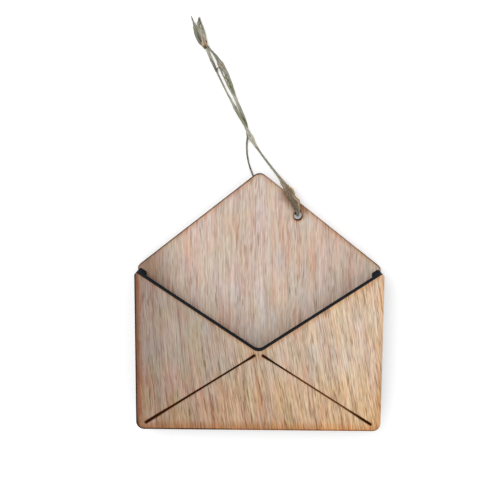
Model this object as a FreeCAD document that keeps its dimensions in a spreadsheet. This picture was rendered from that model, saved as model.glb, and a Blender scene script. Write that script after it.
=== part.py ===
"""A gift card holder shaped as an envelope: three flat laser-cut wooden layers, glued face to face,
with a pocket between them, and a loop of twine through a hole beside the flap's tip.

Millimetres. The holder lies on its back on a table: X across it, Y from its foot to the flap's tip,
Z up out of its front. The origin is on the table, under the middle of the wood. The twine passes
behind the flap, so the wood rests on its foot and on the twine, and leans back by a small angle.
"""

import FreeCAD
import Part

import math
import os

import Sketcher

# Driving dimensions: name, size and what it measures.
SIZES = [
    ("envelope_width", 86.0, "width of all three layers"),
    ("envelope_height", 57.0, "foot to shoulders"),
    ("flap_rise", 33.8, "shoulders to the point where the flap's slopes would meet"),
    ("back_thickness", 3.0, "back panel"),
    ("spacer_thickness", 5.0, "spacer, which is the depth of the pocket"),
    ("front_thickness", 3.0, "front panel"),
    ("side_rail", 3.0, "width of the spacer's side rails"),
    ("foot_rail", 3.0, "width of the spacer's bottom rail"),
    ("mouth_depth", 28.7, "top edge to the point where the V's slopes would meet"),
    ("mouth_round", 3.1, "radius at the bottom of the V"),
    ("tip_round", 3.0, "radius at the flap's tip"),
    ("foot_round", 2.8, "radius at the bottom corners"),
    ("shoulder_round", 1.0, "radius at the top corners"),
    ("pocket_round", 1.0, "radius in the pocket's bottom corners"),
    ("slit_width", 0.65, "kerf of the fold slits"),
    ("slit_side_margin", 3.5, "slit's lower end to the side edge"),
    ("slit_foot_margin", 2.5, "slit's lower end to the foot"),
    ("slit_mouth_margin", 1.25, "slit's upper end to the point where the V's slopes would meet"),
    ("slit_spacing", 3.0, "between the upper ends of the two slits"),
    ("hole_width", 3.0, "twine's hole"),
    ("hole_offset", 13.5, "twine's hole from the centre line"),
    ("hole_drop", 5.0, "twine's hole below the flap's slope"),
    ("twine_thickness", 0.8, "twine"),
    ("twine_clearance", 0.1, "between the twine and the wood that it passes"),
    ("knot_length", 3.25, "knot, along the twine"),
    ("knot_width", 2.2, "knot at its middle"),
    ("knot_end_width", 1.8, "knot where the strands enter and the tails leave"),
]

# Expressions that several layers share.
HALF_WIDTH = "Sizes.envelope_width / 2"
SHOULDER = "Sizes.envelope_height"
TIP = "Sizes.envelope_height + Sizes.flap_rise"
TIP_CUT = "Sizes.tip_round * (sqrt(1 + pow(Sizes.flap_rise / (Sizes.envelope_width / 2); 2)) - 1)"
MOUTH = "Sizes.envelope_height - Sizes.mouth_depth"
RAIL_INSIDE = "Sizes.envelope_width / 2 - Sizes.side_rail"
RAIL_TOP = "Sizes.envelope_height - Sizes.mouth_depth * Sizes.side_rail / (Sizes.envelope_width / 2)"
HOLE_HEIGHT = (
    "(Sizes.envelope_height + Sizes.flap_rise * (1 - Sizes.hole_offset / (Sizes.envelope_width / 2))"
    " - Sizes.hole_drop)"
)
LEAN = f"atan((Sizes.twine_thickness + Sizes.twine_clearance) / {HOLE_HEIGHT})"
HALF_HEIGHT = f"({TIP} - {TIP_CUT}) / 2"

# The twine's route, in two strands that meet inside the hole. Each starts there and ends at the knot.
# The front strand rises out of the hole, goes over the flap's right slope and comes down to cross
# over the rear strand.
FRONT_STRAND = [
    (13.5, 30.2, 2.4),
    (13.5, 30.2, 4.7),
    (14.3, 32.6, 4.8),
    (13.3, 35.8, 4.8),
    (9.6, 40.9, 4.2),
    (3.0, 48.7, 2.6),
    (-2.4, 55.6, 1.6),
    (-6.4, 62.3, 1.6),
    (-11.3, 71.6, 0.5),
    (-15.7, 81.2, 0.4),
    (-18.27, 86.265, 1.1),
    (-19.42, 89.025, 1.1),
]
# The rear strand turns flat under the flap, comes out at the left slope and lies on the table.
REAR_STRAND = [
    (13.5, 30.2, 2.4),
    (13.5, 30.2, 0.4),
    (10.6, 32.0, 0.4),
    (5.2, 35.1, 0.4),
    (-1.2, 41.0, 0.4),
    (-4.3, 49.2, 0.4),
    (-4.4, 56.4, 0.4),
    (-5.4, 63.0, 0.4),
    (-9.5, 74.2, 0.4),
    (-13.9, 82.9, 0.5),
    (-17.43, 86.615, 1.1),
    (-18.58, 89.375, 1.1),
]
# The knot's foot and the way that the twine runs through it, and the two tails beyond it.
KNOT_FOOT = (-19.0, 89.2, 1.1)
KNOT_WAY = (-5.0, 12.0, 0.0)
LEFT_TAIL = [
    (-20.67, 92.025, 1.1),
    (-22.32, 95.985, 1.1),
    (-24.5, 100.2, 0.5),
]
RIGHT_TAIL = [
    (-19.83, 92.375, 1.1),
    (-21.28, 95.855, 1.1),
    (-21.9, 100.2, 0.6),
]

ARC_SHARE = 0.45  # of the shorter run, on each side of a turn
VOLUME_ERROR = 0.01  # share by which a tube may differ from its section times its length
SAME_PLACE = 0.01  # distance below which two points count as one


def make_sheet(doc):
    """The spreadsheet of driving dimensions, one row each: note, size."""
    sheet = doc.addObject("Spreadsheet::Sheet", "Sizes")
    for row, (alias, size, note) in enumerate(SIZES, start=1):
        sheet.set(f"A{row}", note)
        sheet.set(f"B{row}", str(size))
        sheet.setAlias(f"B{row}", alias)
    doc.recompute()
    return sheet


def size_of(item, expression):
    """What an expression of the sheet's sizes comes to now, asked of any object of the document."""
    return float(item.evalExpression(expression))


def make_body(doc, name):
    body = doc.addObject("PartDesign::Body", name)
    body.Label = name
    return body


def origin_plane(body, role):
    return next(item for item in body.Origin.OriginFeatures if item.Role == role)


def attached_sketch(body, name, level=None):
    """An empty sketch on the body's own XY plane, or at the height above it that level gives."""
    sketch = body.newObject("Sketcher::SketchObject", name)
    sketch.AttachmentSupport = [(origin_plane(body, "XY_Plane"), "")]
    sketch.MapMode = "FlatFace"
    if level:
        sketch.setExpression("AttachmentOffset.Base.z", level)
    return sketch


def add_line(sketch, start, end):
    segment = Part.LineSegment(FreeCAD.Vector(*start, 0), FreeCAD.Vector(*end, 0))
    return sketch.addGeometry(segment, False)


def hold_size(sketch, kind, elements, expression):
    """Add a dimension to the sketch and bind it to an expression."""
    constraint = Sketcher.Constraint(kind, *elements, size_of(sketch, expression))
    index = sketch.addConstraint(constraint)
    sketch.setExpression(f"Constraints[{index}]", expression)


def hold_point(sketch, geometry, end, across, up):
    """Bind a point's distances from the sketch's origin to two expressions."""
    hold_size(sketch, "DistanceX", (-1, 1, geometry, end), across)
    hold_size(sketch, "DistanceY", (-1, 1, geometry, end), up)


def join_ends(sketch, kind, joints):
    """Join ends of the sketch's lines and arcs, each given as geometry, end, geometry, end."""
    for joint in joints:
        sketch.addConstraint(Sketcher.Constraint(kind, *joint))


def symmetric_outline(sketch, right_corners):
    """A closed outline, the same on both sides of the sketch's vertical axis.

    right_corners are its right half's corners in order, as expressions. One whose first
    expression is None lies on the axis. One whose second is None lies on the horizontal axis."""
    right = [
        (size_of(sketch, x) if x else 0.0, size_of(sketch, y) if y else 0.0)
        for x, y in right_corners
    ]
    left = [(-x, y) for (x, y), (across, _) in zip(right, right_corners) if across]
    corners = right + left[::-1]
    count = len(corners)
    lines = [add_line(sketch, corners[i], corners[(i + 1) % count]) for i in range(count)]
    join_ends(sketch, "Coincident", [(lines[i], 2, lines[(i + 1) % count], 1) for i in range(count)])
    for index, (x, y) in enumerate(right_corners):
        line = lines[index]
        if x:
            twin = lines[count - 1 - index]
            sketch.addConstraint(Sketcher.Constraint("Symmetric", line, 1, twin, 1, -2))
            hold_size(sketch, "DistanceX", (-1, 1, line, 1), x)
        else:
            sketch.addConstraint(Sketcher.Constraint("PointOnObject", line, 1, -2))
        if y:
            hold_size(sketch, "DistanceY", (-1, 1, line, 1), y)
        else:
            sketch.addConstraint(Sketcher.Constraint("PointOnObject", line, 1, -1))


def pad(body, name, sketch, thickness):
    """The sketch made solid, upwards."""
    feature = body.newObject("PartDesign::Pad", name)
    feature.Profile = sketch
    feature.setExpression("Length", thickness)
    body.Document.recompute()
    return feature


def upright_edges(feature, corners):
    """The names of the edges that stand on the given corners."""
    names = []
    for number, edge in enumerate(feature.Shape.Edges, start=1):
        box = edge.BoundBox
        upright = max(box.XLength, box.YLength) < SAME_PLACE < box.ZLength
        if upright and any(math.dist((box.XMin, box.YMin), corner) < SAME_PLACE for corner in corners):
            names.append(f"Edge{number}")
    return names


def round_corners(body, name, base, corner, radius):
    """Round the upright edges at a corner, given as two expressions, and at its mirror image."""
    across, up = (size_of(base, expression) for expression in corner)
    feature = body.newObject("PartDesign::Fillet", name)
    feature.Base = (base, upright_edges(base, [(across, up), (-across, up)]))
    feature.setExpression("Radius", radius)
    body.Document.recompute()
    return feature


def cut_through(body, name, sketch):
    """The sketch cut upwards through the whole layer."""
    before = body.Shape.Volume
    feature = body.newObject("PartDesign::Pocket", name)
    feature.Profile = sketch
    feature.Type = "ThroughAll"
    feature.Reversed = True
    body.Document.recompute()
    if body.Shape.Volume >= before:
        raise RuntimeError(f"{name} cuts nothing")
    return feature


def lay_down(body):
    """Lay a layer on its back, its foot on the table and its flap on the twine."""
    body.Placement = FreeCAD.Placement(FreeCAD.Vector(), FreeCAD.Rotation(FreeCAD.Vector(1, 0, 0), 1))
    body.setExpression("Placement.Base.y", f"-{HALF_HEIGHT}")
    body.setExpression("Placement.Rotation.Angle", LEAN)


def make_back_panel(doc):
    """A rectangle and the pointed flap in one piece, with the twine's hole by the right slope."""
    body = make_body(doc, "back_panel")
    outline = attached_sketch(body, "BackOutline")
    symmetric_outline(outline, [(HALF_WIDTH, None), (HALF_WIDTH, SHOULDER), (None, TIP)])
    panel = pad(body, "BackSheet", outline, "Sizes.back_thickness")
    panel = round_corners(body, "BackFoot", panel, (HALF_WIDTH, "0"), "Sizes.foot_round")
    panel = round_corners(body, "BackShoulders", panel, (HALF_WIDTH, SHOULDER), "Sizes.shoulder_round")
    round_corners(body, "FlapTip", panel, ("0", TIP), "Sizes.tip_round")
    hole = attached_sketch(body, "TwineHoleOutline")
    radius = size_of(hole, "Sizes.hole_width / 2")
    circle = hole.addGeometry(Part.Circle(FreeCAD.Vector(), FreeCAD.Vector(0, 0, 1), radius), False)
    hold_point(hole, circle, 3, "Sizes.hole_offset", HOLE_HEIGHT)
    hold_size(hole, "Radius", (circle,), "Sizes.hole_width / 2")
    cut_through(body, "TwineHole", hole)
    lay_down(body)
    return body


def make_spacer_frame(doc):
    """A U of three rails that holds the panels apart. The rails' tops are cut in line with the V."""
    body = make_body(doc, "spacer_frame")
    outline = attached_sketch(body, "SpacerOutline", level="Sizes.back_thickness")
    corners = [
        (HALF_WIDTH, None),
        (HALF_WIDTH, SHOULDER),
        (RAIL_INSIDE, RAIL_TOP),
        (RAIL_INSIDE, "Sizes.foot_rail"),
    ]
    symmetric_outline(outline, corners)
    frame = pad(body, "SpacerSheet", outline, "Sizes.spacer_thickness")
    frame = round_corners(body, "SpacerFoot", frame, (HALF_WIDTH, "0"), "Sizes.foot_round")
    frame = round_corners(body, "SpacerShoulders", frame, (HALF_WIDTH, SHOULDER), "Sizes.shoulder_round")
    round_corners(body, "PocketCorners", frame, (RAIL_INSIDE, "Sizes.foot_rail"), "Sizes.pocket_round")
    lay_down(body)
    return body


def slit_outline(sketch):
    """The right fold slit: a straight slot with round ends, from near the foot's corner to the V."""
    low = (f"{HALF_WIDTH} - Sizes.slit_side_margin", "Sizes.slit_foot_margin")
    high = ("Sizes.slit_spacing / 2", f"{MOUTH} - Sizes.slit_mouth_margin")
    low_end, high_end = (FreeCAD.Vector(size_of(sketch, x), size_of(sketch, y)) for x, y in (low, high))
    radius = size_of(sketch, "Sizes.slit_width / 2")
    reach = (high_end - low_end).normalize() * radius
    side = FreeCAD.Vector(-reach.y, reach.x)
    low_arc = sketch.addGeometry(Part.Arc(low_end + side, low_end - reach, low_end - side), False)
    near_side = sketch.addGeometry(Part.LineSegment(low_end - side, high_end - side), False)
    high_arc = sketch.addGeometry(Part.Arc(high_end - side, high_end + reach, high_end + side), False)
    far_side = sketch.addGeometry(Part.LineSegment(high_end + side, low_end + side), False)
    ring = [low_arc, near_side, high_arc, far_side, low_arc]
    join_ends(sketch, "Tangent", [(one, 2, other, 1) for one, other in zip(ring, ring[1:])])
    hold_point(sketch, low_arc, 3, *low)
    hold_point(sketch, high_arc, 3, *high)
    hold_size(sketch, "Radius", (low_arc,), "Sizes.slit_width / 2")


def make_front_panel(doc):
    """The envelope's face: a rectangle with the V mouth, and two slits that draw its folds."""
    level = "Sizes.back_thickness + Sizes.spacer_thickness"
    body = make_body(doc, "front_panel")
    outline = attached_sketch(body, "FrontOutline", level=level)
    symmetric_outline(outline, [(HALF_WIDTH, None), (HALF_WIDTH, SHOULDER), (None, MOUTH)])
    panel = pad(body, "FrontSheet", outline, "Sizes.front_thickness")
    panel = round_corners(body, "FrontFoot", panel, (HALF_WIDTH, "0"), "Sizes.foot_round")
    panel = round_corners(body, "FrontShoulders", panel, (HALF_WIDTH, SHOULDER), "Sizes.shoulder_round")
    round_corners(body, "MouthBottom", panel, ("0", MOUTH), "Sizes.mouth_round")
    slit = attached_sketch(body, "SlitOutline", level=level)
    slit_outline(slit)
    right_slit = cut_through(body, "RightSlit", slit)
    both_slits = body.newObject("PartDesign::Mirrored", "BothSlits")
    both_slits.Originals = [right_slit]
    both_slits.MirrorPlane = (origin_plane(body, "YZ_Plane"), [""])
    body.Tip = both_slits
    lay_down(body)
    return body


def eased_path(name, route):
    """Straight runs along the route, with an arc at each turn as large as its two runs allow."""
    points = [FreeCAD.Vector(*point) for point in route]
    edges = []
    radii = []
    start = points[0]
    for before, corner, after in zip(points, points[1:], points[2:]):
        reach = ARC_SHARE * min(corner.distanceToPoint(before), corner.distanceToPoint(after))
        coming = (corner - before).normalize()
        going = (after - corner).normalize()
        half_turn = coming.getAngle(going) / 2
        radius = reach / math.tan(half_turn)
        inward = (going - coming).normalize()
        middle = corner + inward * radius * (1 / math.cos(half_turn) - 1)
        enter = corner - coming * reach
        leave = corner + going * reach
        edges.append(Part.LineSegment(start, enter).toShape())
        edges.append(Part.Arc(enter, middle, leave).toShape())
        radii.append(radius)
        start = leave
    edges.append(Part.LineSegment(start, points[-1]).toShape())
    print(f"{name}: bend radii {', '.join(f'{radius:.1f}' for radius in radii)} mm")
    return Part.Wire(edges)


def make_tube(doc, name, route, thickness):
    """A stretch of twine as a round tube along its route."""
    path = eased_path(name, route)
    start, second = (FreeCAD.Vector(*point) for point in route[:2])
    section = Part.Wire([Part.makeCircle(thickness / 2, start, second - start)])
    shape = path.makePipeShell([section], True, False)
    expected = math.pi * (thickness / 2) ** 2 * path.Length
    print(f"{name}: length {path.Length:.1f} mm, volume {shape.Volume / expected:.4f} of section x length")
    if abs(shape.Volume / expected - 1) > VOLUME_ERROR:
        raise RuntimeError(f"{name} has lost or gained volume along its route")
    feature = doc.addObject("Part::Feature", name)
    feature.Label = name
    feature.Shape = shape
    return feature


def make_knot(doc):
    """The knot, as a barrel whose flat ends take the two strands and the two tails."""
    body = make_body(doc, "twine_knot")
    profile = attached_sketch(body, "KnotProfile")
    length = size_of(profile, "Sizes.knot_length")
    end, middle = (size_of(profile, f"Sizes.{width} / 2") for width in ("knot_end_width", "knot_width"))
    bulge = "((Sizes.knot_width - Sizes.knot_end_width) / 2)"
    side_radius = f"(pow(Sizes.knot_length / 2; 2) + pow({bulge}; 2)) / (2 * {bulge})"
    crown = Part.Arc(
        FreeCAD.Vector(length, end), FreeCAD.Vector(length / 2, middle), FreeCAD.Vector(0, end)
    )
    axis = add_line(profile, (0, 0), (length, 0))
    head = add_line(profile, (length, 0), (length, end))
    side = profile.addGeometry(crown, False)
    foot = add_line(profile, (0, end), (0, 0))
    ring = [axis, head, side, foot, axis]
    join_ends(profile, "Coincident", [(one, 2, other, 1) for one, other in zip(ring, ring[1:])])
    profile.addConstraint(Sketcher.Constraint("Coincident", axis, 1, -1, 1))
    profile.addConstraint(Sketcher.Constraint("Horizontal", axis))
    profile.addConstraint(Sketcher.Constraint("Vertical", head))
    profile.addConstraint(Sketcher.Constraint("Vertical", foot))
    hold_size(profile, "DistanceX", (axis, 1, axis, 2), "Sizes.knot_length")
    hold_size(profile, "DistanceY", (head, 1, head, 2), "Sizes.knot_end_width / 2")
    hold_size(profile, "Radius", (side,), side_radius)
    barrel = body.newObject("PartDesign::Revolution", "KnotBarrel")
    barrel.Profile = profile
    barrel.ReferenceAxis = (profile, ["H_Axis"])
    turn = FreeCAD.Rotation(FreeCAD.Vector(1, 0, 0), FreeCAD.Vector(*KNOT_WAY))
    body.Placement = FreeCAD.Placement(FreeCAD.Vector(*KNOT_FOOT), turn)
    return body


def check_and_export(doc, parts):
    """Refuse a failed object or an unsound shape, then write one file for each part."""
    doc.recompute()
    failed = [item.Label for item in doc.Objects if {"Invalid", "Error"} & set(item.State)]
    if failed:
        raise RuntimeError(f"these objects failed: {failed}")
    for part in parts:
        if part.Shape.isNull() or not part.Shape.isValid() or len(part.Shape.Solids) != 1:
            raise RuntimeError(f"{part.Label} is not one valid solid")
    os.makedirs("parts", exist_ok=True)
    for part in parts:
        part.Shape.exportStep(f"parts/{part.Label}.step")
        print(f"{part.Label}: {part.Shape.Volume:.1f} cubic mm")


def main():
    doc = FreeCAD.newDocument("GiftCardHolder")
    sheet = make_sheet(doc)
    thickness = size_of(sheet, "Sizes.twine_thickness")
    parts = [
        make_back_panel(doc),
        make_spacer_frame(doc),
        make_front_panel(doc),
        make_tube(doc, "twine_front_strand", FRONT_STRAND, thickness),
        make_tube(doc, "twine_rear_strand", REAR_STRAND, thickness),
        make_knot(doc),
        make_tube(doc, "twine_tail_left", LEFT_TAIL, thickness),
        make_tube(doc, "twine_tail_right", RIGHT_TAIL, thickness),
    ]
    check_and_export(doc, parts)


main()
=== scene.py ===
"""The gift card holder's looks: oak-faced plywood with laser-charred edges, and a frayed loop of
jute twine, on a pale table in soft studio light.

The frame is in metres: X across the holder, Y from its foot to the flap's tip, Z up out of its
front.
"""

import math
import random

import bpy
from bpy.props import FloatProperty, FloatVectorProperty, IntProperty, PointerProperty
from bpy.types import Operator, Panel, PropertyGroup
from mathutils import Matrix, Vector


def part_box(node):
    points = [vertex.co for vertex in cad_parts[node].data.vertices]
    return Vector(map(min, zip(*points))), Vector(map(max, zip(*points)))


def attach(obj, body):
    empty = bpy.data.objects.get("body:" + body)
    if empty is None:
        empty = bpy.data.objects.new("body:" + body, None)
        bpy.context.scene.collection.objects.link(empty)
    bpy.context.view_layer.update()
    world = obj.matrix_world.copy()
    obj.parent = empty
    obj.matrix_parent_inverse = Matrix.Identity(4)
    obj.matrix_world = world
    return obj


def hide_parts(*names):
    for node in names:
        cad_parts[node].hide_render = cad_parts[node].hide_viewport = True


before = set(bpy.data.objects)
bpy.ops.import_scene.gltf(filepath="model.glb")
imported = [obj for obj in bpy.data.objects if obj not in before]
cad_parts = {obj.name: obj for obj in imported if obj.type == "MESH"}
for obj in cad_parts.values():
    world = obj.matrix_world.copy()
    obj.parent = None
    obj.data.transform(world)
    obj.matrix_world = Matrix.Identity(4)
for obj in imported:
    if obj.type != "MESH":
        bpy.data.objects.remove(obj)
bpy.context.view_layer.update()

bl_info = {
    "name": "Gift card holder",
    "version": (1, 0, 0),
    "blender": (4, 5, 0),
    "location": "3D View > Sidebar > Holder",
    "description": "Dresses the holder's wooden layers and its twine, and lights them",
    "category": "Object",
}

MM = 0.001

# The twine's two strands, from the middle of the hole to the knot.
HOLE = (0.0135, 0.0302, 0.0024)
FRONT_STRAND = [
    HOLE,
    (0.0135, 0.0302, 0.0048),
    (0.0133, 0.0330, 0.0049),
    (0.0117, 0.0364, 0.0049),
    (0.0090, 0.0403, 0.0043),
    (0.0068, 0.0438, 0.0036),
    (0.0024, 0.0491, 0.0026),
    (-0.0024, 0.0557, 0.0017),
    (-0.0050, 0.0612, 0.0016),
    (-0.0083, 0.0668, 0.0013),
    (-0.0124, 0.0742, 0.0005),
    (-0.0157, 0.0812, 0.00045),
    (-0.01805, 0.0863, 0.0009),
    (-0.0190, 0.0893, 0.0011),
]
REAR_STRAND = [
    HOLE,
    (0.0135, 0.0302, 0.0004),
    (0.0106, 0.0320, 0.0004),
    (0.0052, 0.0351, 0.0004),
    (-0.0014, 0.0414, 0.0004),
    (-0.0044, 0.0492, 0.0004),
    (-0.0048, 0.0554, 0.0004),
    (-0.0041, 0.0590, 0.0004),
    (-0.0060, 0.0650, 0.0005),
    (-0.0092, 0.0722, 0.0005),
    (-0.0124, 0.0798, 0.0005),
    (-0.0154, 0.0855, 0.0007),
    (-0.0179, 0.0881, 0.0010),
    (-0.0188, 0.0894, 0.0011),
]
# Where the knot starts and the way it points, and the tails that come out of it.
KNOT_FOOT = Vector((-0.01925, 0.0882, 0.0011))
KNOT_WAY = Vector((-2, 12, 0)).normalized()
LEFT_TAIL = [
    (-0.0197, 0.0890, 0.0008),
    (-0.0209, 0.0902, 0.0007),
    (-0.0220, 0.0928, 0.0006),
    (-0.0227, 0.0956, 0.0005),
    (-0.0236, 0.0976, 0.0004),
    (-0.0242, 0.0994, 0.0004),
]
RIGHT_TAIL = [
    (-0.0195, 0.0900, 0.0011),
    (-0.0197, 0.0922, 0.0009),
    (-0.0209, 0.0950, 0.0008),
    (-0.0214, 0.0972, 0.0007),
    (-0.0214, 0.0990, 0.0006),
]

# The twine's lay: millimetres from its start, half its width and height, how light and how warm.
FRONT_LAY = [
    (0, 0.40, 0.40, 0.20, -0.4),
    (2.6, 0.50, 0.42, 0.20, -0.3),
    # From 5 to 11.5 mm, beside the hole, the strand is laid dark: painted shade.
    (5, 0.90, 0.55, 0.10, 0.5),
    (8, 1.15, 0.58, 0.10, 0.5),
    (11.5, 1.20, 0.55, 0.16, 0.6),
    (14.5, 0.90, 0.50, 0.40, 0.6),
    (17, 0.55, 0.42, 0.45, 0.5),
    (19, 0.42, 0.40, 0.42, -0.5),
    (28, 0.36, 0.36, 0.32, -0.1),
    (31.5, 0.55, 0.38, 0.80, 0.0),
    (34, 0.95, 0.40, 1.00, 0.0),
    (37, 0.60, 0.38, 0.85, 0.0),
    (39, 0.42, 0.36, 0.45, -0.5),
    (43, 0.60, 0.40, 0.45, -0.6),
    (46, 0.62, 0.40, 0.45, -0.5),
    (48, 0.42, 0.36, 0.65, 0.0),
    (52, 0.31, 0.31, 0.50, 0.0),
    (59, 0.29, 0.29, 0.35, 0.0),
    (61, 0.48, 0.36, 0.10, -0.1),
    (66, 0.55, 0.38, 0.60, 0.0),
    (72, 0.42, 0.38, 0.50, 0.0),
]
REAR_LAY = [
    (0, 0.38, 0.38, 0.20, 0.0),
    (18, 0.38, 0.36, 0.30, 0.0),
    (20, 0.30, 0.30, 0.15, 0.1),
    (26, 0.28, 0.28, 0.12, 0.1),
    (36, 0.32, 0.32, 0.18, -0.2),
    (38.5, 0.50, 0.37, 0.35, -0.5),
    (43, 0.66, 0.38, 0.45, -0.6),
    (47, 0.55, 0.38, 0.60, -0.2),
    (51, 0.50, 0.38, 0.85, 0.0),
    (53.5, 0.75, 0.38, 0.62, -0.4),
    (56, 1.02, 0.38, 0.55, -0.8),
    (60, 1.12, 0.39, 0.52, -0.4),
    (63.5, 1.08, 0.39, 0.50, 0.4),
    (66, 0.62, 0.38, 0.40, -0.4),
    (69, 0.32, 0.32, 0.25, 0.0),
    (73, 0.38, 0.36, 0.25, 0.2),
]
LEFT_TAIL_LAY = [
    (0, 0.50, 0.36, 0.30, 0.2),
    (2, 0.90, 0.42, 0.36, 0.0),
    (5, 1.05, 0.44, 0.42, -0.1),
    (7, 0.95, 0.42, 0.48, -0.8),
    (8.4, 0.50, 0.38, 0.50, -0.6),
    (9.3, 0.24, 0.24, 0.32, 0.0),
    (12, 0.16, 0.16, 0.28, 0.0),
]
RIGHT_TAIL_LAY = [
    (0, 0.55, 0.42, 0.40, 0.6),
    (2, 0.90, 0.46, 0.78, 0.2),
    (4, 1.08, 0.46, 0.65, 0.1),
    (5.5, 1.08, 0.44, 0.50, -0.6),
    (7.0, 0.85, 0.40, 0.45, -0.1),
    (8.2, 0.52, 0.34, 0.30, 0.0),
    (9.4, 0.22, 0.22, 0.20, 0.0),
]

# The knot's yarns, in millimetres along it, to its right and up: a bar that crosses over two
# rings, and dark yarns in the hollows beside the bar that stand for the shade there: painted shade.
KNOT_BAR = [
    (0.1, 0.0, 0.1),
    (0.35, 0.0, 0.85),
    (1.1, -0.1, 1.0),
    (2.1, -0.1, 0.95),
    (2.8, -0.1, 0.7),
    (3.5, -0.1, 0.3),
]
KNOT_SHADE_YARNS = [
    [(2.1, -0.85, 0.55), (2.5, -0.7, 0.65), (2.8, -0.45, 0.6)],
    [(1.9, 0.85, 0.55), (2.2, 0.7, 0.7), (2.6, 0.5, 0.6)],
]
# Each ring's middle along the knot and its tilt, and then half the rings' width and height.
KNOT_RINGS = ((0.85, 0.12), (1.6, -0.1))
RING_SIZE = (0.80, 0.58)
# The lays of the bar, whose start is dark as painted shade at the knot's foot, the rings, the yarns
# inside them, dark as painted shade, and the dark yarns of painted shade.
KNOT_LAY = [
    (0, 0.50, 0.36, -0.3, 0.6),
    (0.9, 0.60, 0.38, 0.0, 0.8),
    (1.6, 0.70, 0.38, 0.85, 0.7),
    (9, 0.50, 0.34, 0.85, 0.3),
]
RING_LAY = [(0, 0.44, 0.38, 0.75, 0.8), (9, 0.44, 0.38, 0.75, 0.8)]
CORE_LAY = [(0, 0.40, 0.36, 0.15, 0.8), (9, 0.40, 0.36, 0.15, 0.8)]
SHADE_YARN_LAY = [(0, 0.34, 0.3, -0.35, 0.6), (9, 0.34, 0.3, -0.35, 0.6)]

# Loose plies that swing out of the front strand beside the flap: first where they run, in
# millimetres along, aside and up, and then how they are laid.
PLIES = [
    (
        [
            (2.5, 0.0, 0.0),
            (4.6, 0.6, 0.1),
            (6.6, 1.25, 0.2),
            (8.6, 0.7, 0.3),
            (10.8, 1.3, 0.1),
            (12.8, 0.8, 0.0),
            (15, 0.1, 0.0),
        ],
        [
            (0, 0.3, 0.3, 0.5, 0.0),
            (3, 0.62, 0.42, 0.6, 1.2),
            (7, 0.55, 0.4, 0.8, 0.8),
            (10, 0.6, 0.4, 0.7, 1.1),
            (14, 0.2, 0.2, 0.4, 0.0),
        ],
    ),
    # This ply and the next are laid dark, as painted shade of the strand where it lies beside the
    # hole.
    (
        [(2.8, 0.0, 0.1), (5.5, 0.4, 0.15), (8.5, 0.25, 0.25), (11.5, 0.6, 0.1), (14.5, 0.1, 0.0)],
        [
            (0, 0.3, 0.3, 0.3, 0.4),
            (3, 0.8, 0.36, 0.16, 0.5),
            (8, 0.8, 0.36, 0.2, 0.5),
            (12, 0.25, 0.25, 0.4, 0.2),
        ],
    ),
    (
        [
            (3.0, -0.1, 0.0),
            (5.5, -0.8, -0.1),
            (8.5, -1.0, -0.15),
            (11.5, -0.8, -0.1),
            (15, -0.1, 0.0),
        ],
        [
            (0, 0.3, 0.3, 0.2, 0.0),
            (3, 0.65, 0.4, 0.08, 0.7),
            (8, 0.7, 0.4, 0.08, 0.7),
            (12, 0.25, 0.25, 0.3, 0.0),
        ],
    ),
    (
        [(60.2, 0.1, 0.2), (60.8, 0.5, 0.3), (61.2, 1.1, 0.2), (61.4, 1.7, -0.1)],
        [(0, 0.16, 0.16, 0.05, 0.2), (1, 0.14, 0.14, 0.05, 0.2), (3, 0.1, 0.1, 0.1, 0.2)],
    ),
]
# Spans along a strand, in metres: all of it, and where fuzz lies over and beside its plies.
ALL_ALONG = (0.0, math.inf)
FUZZ = (4 * MM, 14 * MM)
SIDE_FUZZ = (3.5 * MM, 12 * MM)

# How a strand's fibre bundles differ: their radius as a share of half its height, and how far
# their tone and warmth spread.
BUNDLE_SHARES = (0.26, 0.40)
TONE_SPREAD = 0.38
WARMTH_SPREAD = 0.35
# The millimetres over which outer bundles and the core sway, and how far a wide strand untwists.
BUNDLE_SWAY = 3.1
CORE_SWAY = 4.0
UNTWISTING = 3.0
# The millimetres over which a frayed bundle thins out, and the share of its radius at the end.
FRAYED_END = (1.6, 0.25)
# A stray fibre's radius at its root and at its end, in millimetres, and the pieces it is made of.
STRAY_RADII = (0.05, 0.015)
STRAY_STEPS = 6

# The right fold slit's ends, in millimetres across and up, and its width. The left one mirrors it.
SLIT_FOOT_END = (39.5, 2.5)
SLIT_TOP_END = (1.5, 27.05)
SLIT_WIDTH = 0.65
# The line about which the flap is darkened beside the hole by a painted shadow of the twine, in
# millimetres across and up.
TWINE_SHADOW_LINE = ((9.9, 82.8), (14.6, 77.8))

# The tints between which the veneer's hue drifts: greenish to ruddy, and grey to honey.
HUE_TINTS = (
    ((0.95, 1.07, 1.08), (1.05, 0.93, 0.92)),
    ((0.98, 0.99, 1.11), (1.02, 1.01, 0.89)),
)


def length_of(name, metres, text):
    return FloatProperty(name=name, description=text, default=metres, unit="LENGTH", precision=5)


def angle_of(name, degrees, text):
    turn = math.radians(degrees)
    return FloatProperty(name=name, description=text, default=turn, subtype="ANGLE")


def share_of(name, share, text):
    return FloatProperty(name=name, description=text, default=share, subtype="FACTOR")


def colour_of(name, colour, text):
    return FloatVectorProperty(name=name, description=text, default=colour, subtype="COLOR")


def point_of(name, place, text):
    return FloatVectorProperty(
        name=name, description=text, default=place, subtype="TRANSLATION", unit="LENGTH"
    )


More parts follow.
